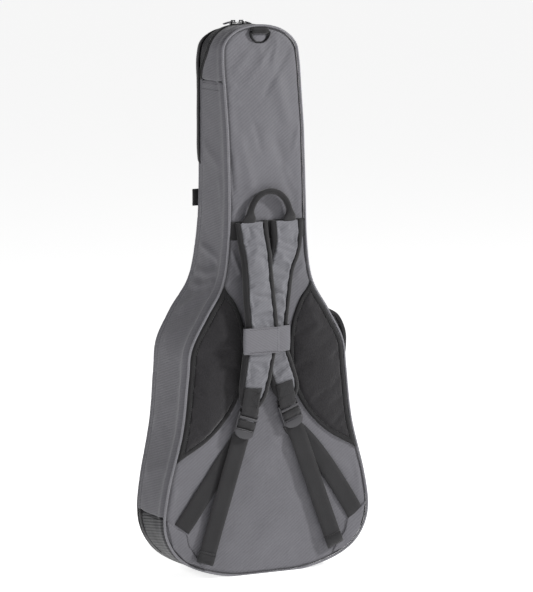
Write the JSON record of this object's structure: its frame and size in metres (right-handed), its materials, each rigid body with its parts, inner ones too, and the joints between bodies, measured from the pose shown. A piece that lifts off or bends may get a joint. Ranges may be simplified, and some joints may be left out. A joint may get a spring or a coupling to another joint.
{
  "type": "padded gig bag",
  "caption": "Tall padded soft case for a flat-top guitar, grey cloth with a zipped lid, pockets, padded backpack straps with ladder-lock buckles, grab handles and a hanging ring.",
  "frame": {"origin": "centre of the overall box at the level of the flat base that the bag stands on", "axes": "+Z from tail to head, -Y out of the back panel that carries the straps, +Y out of the pockets, +X to the right when looking at the straps"},
  "size_m": [0.464, 0.2293, 1.1073],
  "materials": {
    "shell_fabric": "twill polyester",
    "foam": "closed foam",
    "lining": "brushed lining",
    "guard": "rubberised wrinkled cloth",
    "piping": "piping",
    "zip": "nylon coil and tape",
    "mesh": "air mesh",
    "binding": "grosgrain binding",
    "webbing": "woven webbing",
    "strap": "padded strap fabric",
    "pocket": "black pocket fabric",
    "buckle": "moulded plastic",
    "metal": "black zip metal"
  },
  "bodies": {
    "bag": {"back_panel": "shell_fabric", "back_foam": "foam", "gusset_left": "shell_fabric", "gusset_right": "shell_fabric", "gusset_head": "shell_fabric", "gusset_foam": "foam", "tub_lining": "lining", "tail_guard": "guard", "rear_piping": "piping", "zip_tape_tub": "zip", "spine_fold": "shell_fabric", "back_pad_left": "mesh", "back_pad_right": "mesh", "pad_binding_left": "binding", "pad_binding_right": "binding", "strap_band": "webbing", "d_ring_tab": "webbing", "corner_patches": "shell_fabric", "anchor_webbing_left": "webbing", "anchor_webbing_right": "webbing", "neck_cradle": "foam", "tail_pad": "foam", "side_handle_ends": "webbing", "neck_handle_ends": "webbing"},
    "lid": {"lid_panel": "shell_fabric", "lid_foam": "foam", "lid_band": "pocket", "lid_lining": "lining", "front_piping": "piping", "zip_tape_lid": "zip", "head_pocket": "pocket", "head_pocket_zip": "zip", "body_pocket_wall": "pocket", "front_handle_base": "webbing"},
    "pocket_front": {"body_pocket_front": "shell_fabric"},
    "pocket_slider": {"pocket_zip_slider": "metal"},
    "pocket_pull": {"pocket_zip_pull": "metal"},
    "harness": {"strap_left": "strap", "strap_right": "strap", "strap_binding_left": "binding", "strap_binding_right": "binding", "strap_tabs": "webbing", "strap_keeper": "strap"},
    "keeper": {"keeper_flap": "strap"},
    "lock_left": {"ladder_lock_left": "buckle"},
    "lock_right": {"ladder_lock_right": "buckle"},
    "tail_left": {"tail_webbing_left": "webbing"},
    "tail_right": {"tail_webbing_right": "webbing"},
    "neck_grab": {"neck_handle": "webbing"},
    "side_grab": {"side_handle": "webbing"},
    "front_grab": {"front_handle": "webbing"},
    "ring": {"d_ring": "buckle"},
    "slider_left": {"zip_slider_left": "metal"},
    "pull_left": {"zip_pull_left": "metal"},
    "slider_right": {"zip_slider_right": "metal"},
    "pull_right": {"zip_pull_right": "metal"},
    "head_slider": {"head_zip_slider": "metal"},
    "head_pull": {"head_zip_pull": "metal"}
  },
  "joints": [
    {"name": "lid_swing", "type": "hinge", "parent": "bag", "child": "lid", "pos_m": [-0.157, 0.046, 0.61], "axis": [0.15, 0, 0.9887], "range_deg": [0, 100], "deforming": ["spine_fold"]},
    {"name": "pocket_fold", "type": "hinge", "parent": "lid", "child": "pocket_front", "pos_m": [0, 0.07, 0.088], "axis": [-1, 0, 0], "range_deg": [0, 60]},
    {"name": "pocket_zip", "type": "slide", "parent": "lid", "child": "pocket_slider", "axis": [1, 0, 0], "range_m": [0, 0.12]},
    {"name": "pocket_pull_swing", "type": "hinge", "parent": "pocket_slider", "child": "pocket_pull", "pos_m": [-0.06, 0.10676, 0.4794], "axis": [0, -1, 0], "range_deg": [0, 150]},
    {"name": "harness_swing", "type": "hinge", "parent": "bag", "child": "harness", "pos_m": [0, -0.0804, 0.699], "axis": [-1, 0, 0], "range_deg": [0, 25], "deforming": ["anchor_webbing_left", "anchor_webbing_right"]},
    {"name": "keeper_flap_peel", "type": "hinge", "parent": "harness", "child": "keeper", "pos_m": [-0.0715, -0.1132, 0.478], "axis": [0, 0, -1], "range_deg": [0, 150]},
    {"name": "lock_left_tilt", "type": "hinge", "parent": "harness", "child": "lock_left", "pos_m": [-0.05073, -0.0914, 0.32838], "axis": [-0.9511, 0, 0.309], "range_deg": [0, 30]},
    {"name": "lock_right_tilt", "type": "hinge", "parent": "harness", "child": "lock_right", "pos_m": [0.04012, -0.0864, 0.34234], "axis": [-0.9367, 0, -0.3502], "range_deg": [0, 30]},
    {"name": "tail_left_swing", "type": "hinge", "parent": "lock_left", "child": "tail_left", "pos_m": [-0.05969, -0.0955, 0.3008], "axis": [-0.9511, 0, 0.309], "range_deg": [0, 50]},
    {"name": "tail_right_swing", "type": "hinge", "parent": "lock_right", "child": "tail_right", "pos_m": [0.05028, -0.0905, 0.31518], "axis": [-0.9367, 0, -0.3502], "range_deg": [0, 50]},
    {"name": "neck_handle_swing", "type": "hinge", "parent": "bag", "child": "neck_grab", "pos_m": [0, -0.0844, 0.716], "axis": [1, 0, 0], "range_deg": [0, 80]},
    {"name": "side_handle_swing", "type": "hinge", "parent": "bag", "child": "side_grab", "pos_m": [0.164, -0.019, 0.5185], "axis": [0.2865, 0, -0.9581], "range_deg": [-25, 25]},
    {"name": "front_handle_swing", "type": "hinge", "parent": "lid", "child": "front_grab", "pos_m": [0, 0.07744, 0.75], "axis": [1, 0, 0], "range_deg": [-18, 18]},
    {"name": "ring_swing", "type": "hinge", "parent": "bag", "child": "ring", "pos_m": [0, -0.0458, 1.086], "axis": [-1, 0, 0], "range_deg": [0, 120]},
    {"name": "slider_left_slide", "type": "slide", "parent": "bag", "child": "slider_left", "axis": [-1, 0, 0], "range_m": [0, 0.006]},
    {"name": "pull_left_swing", "type": "hinge", "parent": "slider_left", "child": "pull_left", "pos_m": [-0.034, 0.02874, 1.1063], "axis": [0, 1, 0], "range_deg": [0, 150]},
    {"name": "slider_right_slide", "type": "slide", "parent": "bag", "child": "slider_right", "axis": [1, 0, 0], "range_m": [0, 0.04]},
    {"name": "pull_right_swing", "type": "hinge", "parent": "slider_right", "child": "pull_right", "pos_m": [-0.016, 0.02874, 1.1063], "axis": [0, -1, 0], "range_deg": [0, 150]},
    {"name": "head_zip_slide", "type": "slide", "parent": "lid", "child": "head_slider", "axis": [0, 0, 1], "range_m": [0, 0.11]},
    {"name": "head_pull_swing", "type": "hinge", "parent": "head_slider", "child": "head_pull", "pos_m": [0.06, 0.08647, 0.86], "axis": [1, 0, 0], "range_deg": [0, 120]}
  ]
}
